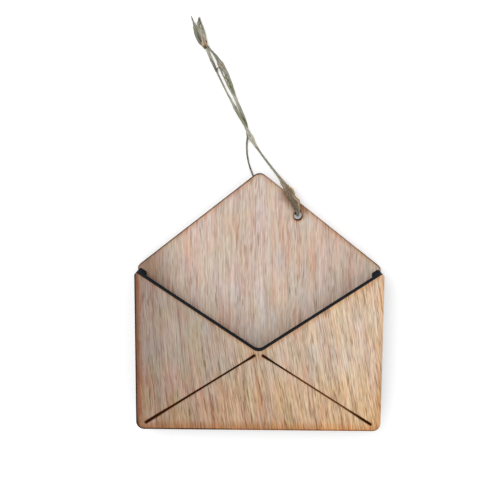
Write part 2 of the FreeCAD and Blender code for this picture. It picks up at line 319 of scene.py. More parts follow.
class WoodSettings(PropertyGroup):
    """Sizes and colours of the wooden layers. Lengths up the wood start at its foot."""

    half_width: length_of("Half width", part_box("front_panel")[1].x, "Centre line to the side edges")
    foot: length_of("Foot", -0.04499, "Place along Y of the foot's rear edge")
    lean: angle_of("Lean", 0.686, "How far the wood leans back, its flap on the twine")
    mouth: length_of("Mouth", 0.0283, "Foot to the point where the V's slopes would meet")
    mouth_round: length_of("Mouth radius", 0.0031, "Radius at the bottom of the V")
    mouth_depth: length_of("Mouth depth", 0.0287, "Top edge to the same point")
    tip: length_of("Tip", 0.0908, "Foot to the point where the flap's slopes would meet")
    flap_rise: length_of("Flap rise", 0.0338, "Shoulders to the same point")
    tip_round: length_of("Tip radius", 0.003, "Radius at the flap's tip")
    corner: length_of("Corner", 0.0028, "Radius at the bottom corners")
    hole_across: length_of("Hole across", 0.0135, "Centre line to the twine's hole")
    hole_up: length_of("Hole up", 0.07519, "Foot to the twine's hole")
    hole_width: length_of("Hole width", 0.003, "Width of the twine's hole")
    front_lean: angle_of("Front grain", 9.5, "Lean of the front's grain from upright")
    # The front's veneer goes from dark at the left edge to light at the right edge: painted shade at
    # the left and painted light at the right, as if lit from the right.
    shaded_left_tone: colour_of("Left oak", (0.335, 0.258, 0.213), "Front veneer at the left edge")
    lit_right_tone: colour_of("Right oak", (0.80, 0.625, 0.46), "Front veneer at the right edge")
    left_foot_tint: colour_of("Left foot tint", (1.06, 0.92, 0.81), "Front veneer low at the left")
    right_foot_tint: colour_of(
        "Right foot tint", (0.95, 0.83, 0.65), "Front veneer low at the right"
    )
    flap_tone: colour_of("Flap oak", (0.65, 0.515, 0.43), "Veneer of the back panel and its flap")
    pore_tint: colour_of("Pore tint", (0.60, 0.50, 0.42), "Open pores")
    red_tint: colour_of("Red tint", (0.95, 0.72, 0.64), "Reddish streaks")
    pale_tone: colour_of("Pale flecks", (0.72, 0.62, 0.56), "Pale rays and stripes")
    toast_tint: colour_of("Toast tint", (0.86, 0.62, 0.42), "Veneer warmed beside a cut")
    scorch_tint: colour_of("Scorch tint", (0.42, 0.27, 0.17), "Veneer browned beside a cut")
    char_tone: colour_of("Char", (0.003, 0.010, 0.016), "Charred walls of the mouth")
    brown_char_tone: colour_of("Brown char", (0.12, 0.055, 0.025), "Lightly charred cut faces")
    outline_tone: colour_of("Outline", (0.022, 0.012, 0.007), "Burnt outlines and outer sides")
    slit_tone: colour_of("Slit walls", (0.60, 0.34, 0.16), "Walls of the right slit, hardly burnt")


class TwineSettings(PropertyGroup):
    """Sizes and colours of the twine."""

    thickness: length_of("Thickness", 0.0008, "Twine where it is evenly spun")
    front_length: length_of("Front strand", 0.0707, "Hole to knot, over the flap")
    rear_length: length_of("Rear strand", 0.0721, "Hole to knot, behind the flap")
    twist: length_of("Twist", 0.0056, "Length of one turn of the fibres")
    fibres: IntProperty(name="Fibres", description="Fibre bundles in a strand", default=14, min=3)
    strays: IntProperty(name="Strays", description="Loose fibres on a strand", default=70, min=0)
    tail_strays: IntProperty(
        name="Tail strays", description="Loose fibres on a tail", default=24, min=0
    )
    dark_tone: colour_of("Dark fibre", (0.05, 0.048, 0.036), "Darkest fibres")
    light_tone: colour_of("Light fibre", (0.55, 0.54, 0.47), "Lightest fibres")
    green_tone: colour_of("Green fibre", (0.29, 0.30, 0.145), "Olive fibres")
    warm_tone: colour_of("Warm fibre", (0.64, 0.42, 0.23), "Reddish fibres, most in the knot")


class StageSettings(PropertyGroup):
    """Camera, table and light."""

    aim: point_of("Aim", (-0.00335, 0.03224, 0.005), "Point that the camera is turned round")
    distance: length_of("Distance", 0.24289, "Camera to aim")
    tilt: angle_of("Tilt", 5.89, "Camera's lean from straight above towards the flap")
    pan: angle_of("Pan", 0.564, "Camera's lean to the right")
    roll: angle_of("Roll", 0.346, "Camera's turn about its own axis")
    lens: FloatProperty(
        name="Lens", description="Focal length in millimetres", default=50.0, unit="CAMERA"
    )
    rise: FloatProperty(name="Shift", description="Vertical lens shift", default=-0.08)
    table_size: length_of("Table", 6.0, "Side of the square table")
    table_tone: colour_of("Table top", (0.90, 0.90, 0.90), "Pale table")
    sky: share_of("Sky", 0.76, "Light from all round")
    table_glow: share_of("Table glow", 0.28, "What the table adds where it is seen")
    lamp_power: FloatProperty(
        name="Lamp", description="Power of the main lamp", default=2.1, unit="POWER"
    )
    lamp_size: length_of("Lamp size", 0.5, "Width of the round lamp")
    lamp_place: point_of("Lamp place", (-0.25, 0.35, 0.75), "Where the lamp hangs")
    lamp_aim: point_of("Lamp aim", (0.0, 0.02, 0.0), "Point that the lamp faces")


class Value:
    """A node's output, whose arithmetic adds Math nodes to its shader."""

    def __init__(self, shader, socket):
        self.shader = shader
        self.socket = socket

    def output(self, name):
        """Another output of the same node."""
        return Value(self.shader, self.socket.node.outputs[name])

    def maths(self, operation, *values, clamp=False):
        settings = {"operation": operation, "use_clamp": clamp}
        return self.shader.node("ShaderNodeMath", settings, dict(enumerate(values)))

    def __add__(self, other):
        return self.maths("ADD", self, other)

    __radd__ = __add__

    def __sub__(self, other):
        return self.maths("SUBTRACT", self, other)

    def __rsub__(self, other):
        return self.maths("SUBTRACT", other, self)

    def __mul__(self, other):
        return self.maths("MULTIPLY", self, other)

    __rmul__ = __mul__

    def __truediv__(self, other):
        return self.maths("DIVIDE", self, other)

    def __pow__(self, other):
        return self.maths("POWER", self, other)

    def __abs__(self):
        return self.maths("ABSOLUTE", self)

    def least(self, other):
        return self.maths("MINIMUM", self, other)

    def most(self, other):
        return self.maths("MAXIMUM", self, other)

    def held(self):
        """Kept between 0 and 1."""
        return self.maths("ADD", self, 0.0, clamp=True)

    def fade(self, near, far):
        """1 at near, falling smoothly to 0 at far."""
        return self.shader.node(
            "ShaderNodeMapRange",
            {"interpolation_type": "SMOOTHSTEP"},
            {"Value": self, "From Min": near, "From Max": far, "To Min": 1.0, "To Max": 0.0},
        )


class Shader:
    """A node tree and the ways to add to it."""

    def __init__(self, tree):
        self.tree = tree
        tree.nodes.clear()

    def node(self, kind, settings=None, inputs=None, output=0):
        """Add a node, with its settings first and then its sockets' values or links."""
        node = self.tree.nodes.new(kind)
        for name, setting in (settings or {}).items():
            setattr(node, name, setting)
        for name, value in (inputs or {}).items():
            socket = node.inputs[name]
            if isinstance(value, Value):
                self.tree.links.new(value.socket, socket)
            elif socket.type == "RGBA":
                socket.default_value = (*value, 1.0)
            else:
                socket.default_value = value
        return Value(self, node.outputs[output]) if len(node.outputs) else None

    def mix(self, share, first, second, blend="MIX"):
        """A colour between two, or the second laid on the first."""
        settings = {"data_type": "RGBA", "blend_type": blend}
        return self.node("ShaderNodeMix", settings, {0: share, 6: first, 7: second}, output=2)

    def scaled(self, vector, size):
        return self.node("ShaderNodeVectorMath", {"operation": "SCALE"}, {0: vector, "Scale": size})

    def place(self):
        """Across, along and out of the table, in millimetres."""
        spot = self.scaled(self.node("ShaderNodeTexCoord", output="Object"), 1 / MM)
        parts = self.node("ShaderNodeSeparateXYZ", inputs={0: spot})
        return parts.output("X"), parts.output("Y"), parts.output("Z")

    def noise(self, x, y, z, detail=2.0):
        """Soft noise about 0.5, one unit to a blotch."""
        spot = self.node("ShaderNodeCombineXYZ", inputs={0: x, 1: y, 2: z})
        values = {"Vector": spot, "Scale": 1.0, "Detail": detail, "Roughness": 0.5}
        return self.node("ShaderNodeTexNoise", inputs=values)

    def bump(self, height, depth):
        """A surface raised by height times depth, in millimetres."""
        values = {"Height": height, "Distance": depth * MM, "Strength": 1.0}
        return self.node("ShaderNodeBump", inputs=values)

    def surface(self, colour, roughness, normal=None, **constants):
        """End in a Principled surface."""
        values = {"Base Color": colour, "Roughness": roughness}
        if normal is not None:
            values["Normal"] = normal
        values.update((name.replace("_", " "), value) for name, value in constants.items())
        skin = self.node("ShaderNodeBsdfPrincipled", inputs=values)
        self.node("ShaderNodeOutputMaterial", inputs={"Surface": skin})


def new_material(name):
    """A new material and its shader."""
    material = bpy.data.materials.new(name)
    material.use_nodes = True
    return material, Shader(material.node_tree)


def oak(shader, across, along, seed):
    """An oak veneer's look, drawn out along the grain: tone, redness, pores, flecks and hues.

    Each mark is divided by its width and length, in millimetres.
    """
    sway = shader.noise(across / 16, along / 60, seed) - 0.5
    waves = shader.noise(across / 3.5, along / 6, seed + 10, 1.0) - 0.5
    grain = across + sway * 1.8 + waves * 0.5
    bands = shader.noise(grain / 6, along / 150, seed + 1) - 0.5
    stripes = shader.noise(grain / 1.5, along / 90, seed + 2) - 0.5
    lines = shader.noise(grain / 0.48, along / 14, seed + 3, 1.0) - 0.5
    hairs = shader.noise(grain / 0.28, along / 2.6, seed + 4, 0.0) - 0.5
    tone = bands * 0.3 + stripes * 0.3 + lines * 0.8 + hairs * 0.5
    redness = ((shader.noise(grain, along / 24, seed + 5) - 0.53) * 5).held()
    slots = shader.noise(grain / 0.3, along / 5, seed + 7, 0.0)
    pores = (1 - slots.fade(0.6, 0.7)) * (0.75 - stripes * 3).held()
    rings = abs(shader.noise(grain / 1.6, along / 55, seed + 6, 1.0) - 0.5).fade(0.0, 0.045)
    breaks = shader.noise(grain / 0.8, along / 6, seed + 9, 1.0)
    pores = pores.most(rings * (breaks * 2.4 - 0.7).held() * 0.75)
    flecks = 1 - shader.noise(grain / 0.8, along / 14, seed + 8, 0.0).fade(0.58, 0.74)
    hues = [shader.noise(grain / 4, along / 11, seed + part, 1.0) - 0.5 for part in (11, 12)]
    return tone, redness, pores, flecks, hues


def veneer(shader, wood, face, grain):
    """Lay the grain's parts over a veneer's colour."""
    tone, redness, pores, flecks, hues = grain
    for hue, tints in zip(hues, HUE_TINTS):
        tint = shader.mix((hue * 2 + 0.5).held(), *tints)
        face = shader.mix(1.0, face, tint, "MULTIPLY")
    face = shader.mix(redness * 0.8, face, wood.red_tint, "MULTIPLY")
    face = shader.scaled(face, 1 + tone)
    face = shader.mix(flecks * 0.2, face, wood.pale_tone)
    return shader.mix(pores, face, wood.pore_tint, "MULTIPLY")


def to_point(across, up, point):
    """Distance from a point of the face to another."""
    x = across - point[0]
    y = up - point[1]
    return (x * x + y * y) ** 0.5


def to_segment(across, up, start, end):
    """Distance from a point of the face to a straight segment."""
    run = (end[0] - start[0], end[1] - start[1])
    x = across - start[0]
    y = up - start[1]
    share = ((x * run[0] + y * run[1]) / (run[0] ** 2 + run[1] ** 2)).held()
    return to_point(x, y, (share * run[0], share * run[1]))


def to_outline(across, up, wood):
    """Distance to the side and foot edges, no more than the radius of the corners between them."""
    radius = wood.corner / MM
    x = (abs(across) - (wood.half_width / MM - radius)).most(0)
    y = (radius - up).most(0)
    return radius - (x * x + y * y) ** 0.5


def most_of(first, *others):
    """The largest of several shares."""
    for other in others:
        first = first.most(other)
    return first


def unevenness(shader, across, up, seed):
    """Millimetres by which the marks beside a cut reach further or less far."""
    return (shader.noise(across / 1.7, up / 1.7, seed) - 0.5) * 0.6


def panel_coordinates(shader, wood):
    """Across, up the panel from its foot and out of the table, in millimetres."""
    across, along, out = shader.place()
    return across, along - wood.foot / MM + out * math.sin(wood.lean), out


def charred(shader, wood, place, tone):
    """A cut face's upright striations and its colour. The outer sides are browner, with plies."""
    across, up, out = place
    streaks = shader.noise((across + up) / 0.35, (across - up) / 0.35, out / 2.4, 2.0)
    plies = shader.noise(across / 30, up / 30, out / 0.55, 0.0)
    brown = (streaks * 0.5 + plies * 0.9 - 0.52).held()
    outer = to_outline(across, up, wood).fade(0.3, 0.8)
    tone = shader.mix(outer, tone, wood.outline_tone)
    return streaks, shader.mix(brown * (0.2 + outer * 0.5), tone, wood.brown_char_tone)


def finish_panel(shader, wood, face, pores, marks, tones, place):
    """Join a face, its toasted, scorched and burnt outlines and the charred cut faces."""
    toast, scorch, rim = marks
    rim_tone, cut_tone = tones
    streaks, cut = charred(shader, wood, place, cut_tone)
    face = shader.mix(toast, face, wood.toast_tint, "MULTIPLY")
    # On the back panel this also lays on the painted shadow of the twine.
    face = shader.mix(scorch, face, wood.scorch_tint, "MULTIPLY")
    face = shader.mix(rim, face, rim_tone)
    normal = shader.node("ShaderNodeTexCoord", output="Normal")
    facing = shader.node("ShaderNodeSeparateXYZ", inputs={0: normal})
    side = abs(facing.output("Z")).fade(0.5, 0.8)
    colour = shader.mix(side, face, cut)
    relief = (1 - side) * (1 - pores) + side * streaks * 2
    roughness = 0.6 + pores * 0.15 + side * 0.1
    shader.surface(colour, roughness, shader.bump(relief, 0.03), Specular_IOR_Level=0.06)


def front_veneer(shader, wood, across, up, to_right):
    """The front's oak and its pores: grain that leans, darker at the left as painted shade and
    lighter at the right as painted light, and warmer below.
    """
    # Towards the left edge the grain stands more upright.
    left_turn = (across / (wood.half_width / MM) + 0.25).least(0) * 0.147
    grain = across + up * (math.tan(wood.front_lean) + left_turn)
    tone, redness, pores, flecks, hues = oak(shader, grain, up, 3.7)
    # Dark at the left to light at the right: painted shade and painted light, as if lit from the
    # right.
    face = shader.mix(to_right, wood.shaded_left_tone, wood.lit_right_tone)
    foot_tint = shader.mix(to_right, wood.left_foot_tint, wood.right_foot_tint)
    face = shader.mix(up.fade(3, 30), face, foot_tint, "MULTIPLY")
    depth = 0.74 + to_right * 0.38 + up.fade(8, 34) * 0.24
    hues = [hues[0] * (1 - to_right * 0.6), hues[1] * (1 - to_right * 0.2)]
    face = veneer(shader, wood, face, (tone * depth, redness, pores * depth, flecks, hues))
    return face, pores


def front_material(wood):
    """The front panel, with its marks along the mouth, the outline and the slits."""
    material, shader = new_material("front_oak")
    place = panel_coordinates(shader, wood)
    across, up, _ = place
    half = wood.half_width / MM
    to_right = ((across + half) / (2 * half)).held()
    face, pores = front_veneer(shader, wood, across, up, to_right)
    # How far the cuts are, in millimetres.
    sideways = abs(across)
    slope = wood.mouth_depth / wood.half_width
    radius = wood.mouth_round / MM
    spine = wood.mouth / MM + radius * math.hypot(1, slope)
    to_mouth = to_segment(sideways, up, (0, spine), (half, spine + half * slope)) - radius
    to_sides = to_outline(across, up, wood)
    to_slit = to_segment(sideways, up, SLIT_FOOT_END, SLIT_TOP_END) - SLIT_WIDTH / 2
    to_foot_end = to_point(sideways, up, SLIT_FOOT_END)
    to_top_end = to_point(sideways, up, SLIT_TOP_END)
    # How strongly the left, the slits' ends and a strip along the left edge are burnt.
    uneven = unevenness(shader, across, up, 9.0)
    leftness = (across / half).fade(-0.9, -0.2)
    foot_leftness = leftness.most((across / half).fade(-0.5, -0.1) * up.fade(1, 2))
    burnt = to_foot_end.fade(1.0, 12.0).most(to_top_end.fade(1.0, 5.5 - to_right))
    patches = shader.noise(across / 5, up / 5, 13.0, 1.0) - 0.5
    strip = (across + half + uneven * 2).fade(1.0, 3.4 - patches * 2)
    face = shader.mix(strip * (0.7 + patches), face, wood.red_tint, "MULTIPLY")
    toast = most_of(
        strip * (0.8 - up.fade(30, 10) * 0.2),
        (up + uneven * 2).fade(0.5, 4.2) * (0.85 + leftness * 0.15),
        (half - across + uneven * 2).fade(0.2, 4.2) * 0.6,
        (to_mouth + uneven).fade(0.2, 1.1 + to_right * 1.6) * 0.7,
        (to_slit + uneven).fade(0.0, 0.6) * (0.2 + leftness * 0.6 + burnt * 0.4).held(),
        (to_foot_end.least(to_top_end) + uneven * 2).fade(0.4, 2.6) * 0.8,
    )
    scorch = most_of(
        (across + half + uneven).fade(0.2, 2.0) * 0.62,
        (up + uneven).fade(0.1, 0.8) * 0.75,
        (to_slit - burnt * 0.15).fade(0.0, 0.3) * (0.05 + leftness * 0.9 + burnt * 0.6).held(),
    )
    rim = most_of(
        (to_sides + uneven * 0.2).fade(0.25, 0.6) * (0.12 + foot_leftness * 0.8),
        (to_mouth + uneven * 0.2 + to_right * 0.1).fade(0.25, 0.48) * 0.97,
        (to_slit + uneven * 0.1).fade(0.05, 0.22) * burnt * 0.9,
    )
    rim_tone = shader.mix(to_mouth.fade(0.5, 1.0), wood.outline_tone, wood.char_tone)
    slit_tone = shader.mix(across.fade(14, 6) * (1 - burnt), wood.brown_char_tone, wood.slit_tone)
    cut_tone = shader.mix(to_slit.fade(0.1, 0.3), rim_tone, slit_tone)
    finish_panel(shader, wood, face, pores, (toast, scorch, rim), (rim_tone, cut_tone), place)
    return material


def back_veneer(shader, wood, across, up, left_end):
    """The back's oak and its pores: paler, with upright grain, a pale stripe down the middle and
    painted shade towards the left end.
    """
    tone, redness, pores, flecks, hues = oak(shader, (across + up * 0.015) * 0.9, up, 31.3)
    pores = pores * 0.7
    hues = [hue * 0.6 for hue in hues]
    stripes = 1 - shader.noise(across / 1.4, up / 60, 44.0).fade(0.5, 0.7)
    stripes = (stripes * 0.35).most(abs(across - 0.4).fade(1.2, 2.8) * 0.55)
    face = shader.mix(stripes, wood.flap_tone, wood.pale_tone)
    # Darker towards the flap's left end: painted shade.
    face = shader.scaled(face, 1 - left_end * 0.33)
    return veneer(shader, wood, face, (tone * 0.75, redness, pores, flecks, hues)), pores


def back_material(wood):
    """The back panel and its flap, with its marks along the outline and the hole."""
    material, shader = new_material("back_oak")
    place = panel_coordinates(shader, wood)
    across, up, _ = place
    half = wood.half_width / MM
    tip = wood.tip / MM
    # The flap's left end, where its veneer carries painted shade and is toasted.
    left_end = (across / half).fade(-0.92, -0.62)
    face, pores = back_veneer(shader, wood, across, up, left_end)
    # How far the cuts are, in millimetres: the flap's slopes with its round tip, the outline and
    # the hole.
    slope = wood.flap_rise / wood.half_width
    radius = wood.tip_round / MM
    spine = tip - radius * math.hypot(1, slope)
    to_slope = (tip - up - abs(across) * slope) / math.hypot(1, slope)
    at_tip = radius - to_segment(abs(across), up, (0, spine), (half, spine - half * slope))
    to_slope = to_slope + to_slope.maths("LESS_THAN", to_slope, radius) * (at_tip - to_slope)
    edge = to_slope.least(to_outline(across, up, wood))
    to_hole = to_point(across, up, (wood.hole_across / MM, wood.hole_up / MM))
    to_hole = to_hole - wood.hole_width / MM / 2
    # How strongly the left slope, the right shoulder and the tip are burnt.
    uneven = unevenness(shader, across, up, 17.0)
    leftness = (across / half).fade(-0.02, 0.08)
    dark = leftness.most((across / half).fade(0.9, 0.76))
    tipness = to_point(across, up, (-1.5, tip)).fade(3.0, 7.0)
    # A painted shadow of the twine on the flap beside the hole, laid on with the scorch tint.
    twine_shadow = (to_segment(across, up, *TWINE_SHADOW_LINE) + uneven * 3).fade(0.5, 4.7)
    toast = most_of(
        (edge + uneven * 2).fade(0.2, 2.2) * 0.6,
        (to_hole + uneven).fade(0.2, 1.4) * 0.8,
        left_end * 0.55,
    )
    # Scorch beside the cuts and the hole, and the painted shadow of the twine.
    scorch = most_of(
        (edge + uneven).fade(0.1, 0.8) * 0.35,
        to_hole.fade(0.1, 0.6) * 0.7,
        twine_shadow * 0.82,
    )
    rim = most_of(
        (edge + uneven * 0.2).fade(0.12, 0.38) * (0.25 + dark * (0.4 + tipness * 0.3)),
        to_hole.fade(0.05, 0.3) * 0.9,
    )
    lightly_burnt = (1 - leftness) * (1 - up.fade(57, 60)) * 0.7
    cut_tone = shader.mix(lightly_burnt, wood.outline_tone, wood.brown_char_tone)
    tones = (wood.outline_tone, cut_tone)
    finish_panel(shader, wood, face, pores, (toast, scorch, rim), tones, place)
    return material


def spacer_material(wood):
    """The spacer, of which only charred cut faces are seen."""
    material, shader = new_material("charred_rails")
    place = panel_coordinates(shader, wood)
    streaks, colour = charred(shader, wood, place, wood.char_tone)
    relief = shader.bump(streaks, 0.06)
    shader.surface(colour, 0.6 + streaks * 0.1, relief, Specular_IOR_Level=0.04)
    return material


def jute_material(twine):
    """Jute fibre: each bundle has its own tone, with streaks and specks along it."""
    material, shader = new_material("jute")
    lay = shader.node("ShaderNodeAttribute", {"attribute_name": "lay"}, output="Vector")
    parts = shader.node("ShaderNodeSeparateXYZ", inputs={0: lay})
    distance, tone, warmth = (parts.output(axis) for axis in "XYZ")
    across, along, _ = shader.place()
    streaks = shader.noise(across / 0.15, along / 0.5, tone * 40, 2.0) - 0.5
    patches = shader.noise(distance / 2.2, tone * 30, 4.0) - 0.5
    # The lay's tone is partly painted shade, where the twine's tables lay yarns dark for it.
    share = (tone + streaks * 0.5 + patches * 0.6).held()
    warm_tone = shader.scaled(tuple(twine.warm_tone), 0.35 + share * 0.75)
    colour = shader.mix(share, twine.dark_tone, twine.light_tone)
    hue = warmth + (shader.noise(distance / 1.6, tone * 17, 8.0) - 0.5) * 1.2
    colour = shader.mix((hue * -0.75).held(), colour, twine.green_tone)
    colour = shader.mix((hue * 0.8).held(), colour, warm_tone)
    shader.surface(colour, 0.85, shader.bump(streaks, 0.04), Specular_IOR_Level=0.15)
    return material


def dress(name, material):
    """Give a CAD layer its finish."""
    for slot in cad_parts[name].material_slots:
        slot.material = material


def smooth_line(points):
    """Points along the NURBS spline that has a route's points as its control points."""
    curve = bpy.data.curves.new("route", "CURVE")
    curve.dimensions = "3D"
    curve.resolution_u = 24
    spline = curve.splines.new("NURBS")
    spline.points.add(len(points) - 1)
    for control, point in zip(spline.points, points):
        control.co = (*point, 1.0)
    spline.order_u = 3
    spline.use_endpoint_u = True
    route = bpy.data.objects.new("route", curve)
    mesh = bpy.data.meshes.new_from_object(route)
    line = [vertex.co.copy() for vertex in mesh.vertices]
    bpy.data.meshes.remove(mesh)
    bpy.data.objects.remove(route)
    bpy.data.curves.remove(curve)
    return line


class Line:
    """A line of points, with the distance, tangent and sideways and upward directions of each."""

    def __init__(self, points):
        self.points = points
        self.distances = [0.0]
        for before, after in zip(points, points[1:]):
            self.distances.append(self.distances[-1] + (after - before).length)
        last = len(points) - 1
        self.ways = [
            (points[min(i + 1, last)] - points[max(i - 1, 0)]).normalized() for i in range(last + 1)
        ]
        # Where the line climbs steeply, the way that it ran before gives the sideways direction.
        level = [Vector((way.x, way.y, 0)) for way in self.ways]
        flat = next(way for way in level if way.length > 0.3)
        self.sides = []
        for way in level:
            flat = way if way.length > 0.3 else flat
            self.sides.append(Vector((flat.y, -flat.x, 0)).normalized())
        self.ups = [side.cross(way).normalized() for side, way in zip(self.sides, self.ways)]
        self.length = self.distances[-1]

    def nearest(self, distance):
        """The index of the point that is nearest to a distance along the line."""
        return min(range(len(self.points)), key=lambda i: abs(self.distances[i] - distance))


def along_table(table, distance):
    """A table's values at a distance in metres, eased between its rows."""
    reach = distance / MM
    for (low, *before), (high, *after) in zip(table, table[1:]):
        if reach <= high:
            share = max(0.0, (reach - low) / (high - low))
            share = share * share * (3 - 2 * share)
            return [a + (b - a) * share for a, b in zip(before, after)]
    return table[-1][1:]


class Fibres:
    """Thin tubes that grow into the mesh of one piece."""

    def __init__(self):
        self.vertices = []
        self.faces = []
        self.lay = []

    def add(self, centres, radii, tones, warmths, sides=6):
        """Add a closed tube along the centres, with its lay: millimetres along, tone and warmth."""
        first = len(self.vertices)
        last = len(centres) - 1
        across = Vector((0, 0, 1))
        along = 0.0
        for i, (centre, radius) in enumerate(zip(centres, radii)):
            way = (centres[min(i + 1, last)] - centres[max(i - 1, 0)]).normalized()
            across = across - way * across.dot(way)
            if across.length < 1e-6:
                across = way.orthogonal()
            across.normalize()
            beside = way.cross(across)
            along += (centre - centres[max(i - 1, 0)]).length
            for step in range(sides):
                angle = math.tau * step / sides
                reach = across * math.cos(angle) + beside * math.sin(angle)
                self.vertices.append(centre + reach * radius)
                self.lay.append((along / MM, tones[i], warmths[i]))
        for i in range(last):
            ring = first + i * sides
            for step in range(sides):
                turn = (step + 1) % sides
                above = ring + sides
                self.faces.append((ring + step, ring + turn, above + turn, above + step))
        self.faces.append(tuple(first + step for step in reversed(range(sides))))
        self.faces.append(tuple(first + last * sides + step for step in range(sides)))

    def make(self, name, material):
        """The finished piece, with its material."""
        mesh = bpy.data.meshes.new(name)
        mesh.from_pydata([tuple(vertex) for vertex in self.vertices], [], self.faces)
        mesh.shade_smooth()
        lay = mesh.attributes.new("lay", "FLOAT_VECTOR", "POINT")
        lay.data.foreach_set("vector", [number for spot in self.lay for number in spot])
        mesh.materials.append(material)
        piece = bpy.data.objects.new(name, mesh)
        bpy.context.scene.collection.objects.link(piece)
        return piece


def spin(fibres, line, table, twine, luck, frayed=0.0, spread=1.0):
    """Add a strand of fibre bundles, twisted round a core and laid as its table says.

    The wider the strand is laid, the looser its twist. Frayed bundles end before the line does.
    """
    count = round(twine.fibres * spread)
    thinning, end_share = FRAYED_END
    for number in range(count + 1):
        core = number == count
        angle = math.tau * number / count + luck.uniform(-0.3, 0.3)
        share = 0.5 if core else luck.uniform(*BUNDLE_SHARES)
        wander = luck.uniform(0, math.tau)
        own_tone = luck.uniform(-TONE_SPREAD, TONE_SPREAD)
        own_warmth = luck.uniform(-WARMTH_SPREAD, WARMTH_SPREAD)
        end = line.length * (1 - frayed * luck.random() ** 1.5)
        centres, radii, tones, warmths = [], [], [], []
        before = 0.0
        for point, distance, side, up in zip(line.points, line.distances, line.sides, line.ups):
            if distance > end:
                break
            width, height, tone, warmth = along_table(table, distance)
            loose = max(0.0, width / height - 1.1)
            angle += math.tau * (distance - before) / twine.twist / (1 + loose * UNTWISTING)
            before = distance
            radius = height * share
            if core:
                sway = math.sin(distance / (CORE_SWAY * MM) + wander)
                reach = side * (sway * (width - height) * 0.6)
            else:
                swing = angle + 0.5 * math.sin(distance / (BUNDLE_SWAY * MM) + wander)
                reach = side * (math.cos(swing) * (width - radius))
                reach += up * (math.sin(swing) * (height - radius))
            taper = min(1.0, (end - distance) / (thinning * MM) + end_share) if frayed else 1.0
            centres.append(point + reach * MM)
            radii.append(radius * MM * taper)
            tones.append(min(1.0, max(0.0, tone + own_tone)))
            warmths.append(warmth + own_warmth)
        if len(centres) > 2:
            fibres.add(centres, radii, tones, warmths)


def fray(
    fibres, line, table, luck, count, span=ALL_ALONG, reach=(0.8, 2.6), tangle=0.0, leans=(-1, 1)
):
    """Add stray fibres that leave the strand and curl away from it, never downwards.

    Tangled ones lie on top of the strand and run askew. The span is in metres along the line.
    """
    for _ in range(count):
        i = line.nearest(luck.uniform(span[0], min(span[1], line.length)))
        width, height, tone, warmth = along_table(table, line.distances[i])
        along = line.ways[i] * luck.choice((-1, 1))
        lean = luck.uniform(*leans)
        outward = line.sides[i] * lean + Vector((0, 0, 1)) * luck.uniform(0.0, 0.5)
        root = line.points[i] + line.sides[i] * (lean * width * 0.8 * MM)
        if tangle:
            along = (along + line.sides[i] * luck.uniform(-tangle, tangle)).normalized()
            root += Vector((0, 0, height * MM * math.sqrt(1 - lean * lean)))
        size = luck.uniform(*reach) * MM
        curl = luck.uniform(0.15, 0.5) * size
        shares = [step / STRAY_STEPS for step in range(STRAY_STEPS + 1)]
        centres = [root + along * (size * share) + outward * (curl * share**2) for share in shares]
        thick, thin = STRAY_RADII
        radii = [(thick + (thin - thick) * share) * MM for share in shares]
        tone = min(1.0, tone + luck.uniform(-0.1, 0.5))
        fibres.add(centres, radii, [tone] * len(centres), [warmth] * len(centres), sides=4)


def swung(line, table):
    """A line swung out of another as its table says, in millimetres along, aside and up."""
    points = []
    for point, distance, side, up in zip(line.points, line.distances, line.sides, line.ups):
        if table[0][0] <= distance / MM <= table[-1][0]:
            aside, lift = along_table(table, distance)
            points.append(point + (side * aside + up * lift) * MM)
    return Line(points)


def knot_line(spots):
    """A line through the knot, from spots in millimetres along it, to its right and up."""
    right = Vector((KNOT_WAY.y, -KNOT_WAY.x, 0))
    return Line(smooth_line([
        KNOT_FOOT + (KNOT_WAY * along + right * aside + Vector((0, 0, up))) * MM
        for along, aside, up in spots
    ]))


class HOLDER_OT_dress_back_panel(Operator):
    """Finish the back panel and its flap in pale oak"""

    bl_idname = "holder.dress_back_panel"
    bl_label = "Dress back panel"

    def execute(self, context):
        dress("back_panel", back_material(context.scene.holder_wood))
        return {"FINISHED"}


class HOLDER_OT_dress_spacer(Operator):
    """Finish the spacer's rails with charred cut faces"""

    bl_idname = "holder.dress_spacer"
    bl_label = "Dress spacer"

    def execute(self, context):
        dress("spacer_frame", spacer_material(context.scene.holder_wood))
        return {"FINISHED"}


class HOLDER_OT_dress_front_panel(Operator):
    """Finish the front panel in oak with scorched outlines"""

    bl_idname = "holder.dress_front_panel"
    bl_label = "Dress front panel"

    def execute(self, context):
        dress("front_panel", front_material(context.scene.holder_wood))
        return {"FINISHED"}


def settle(piece, node):
    """Put a piece of twine in a CAD node's place."""
    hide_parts(node)
    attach(piece, "root")
    return piece


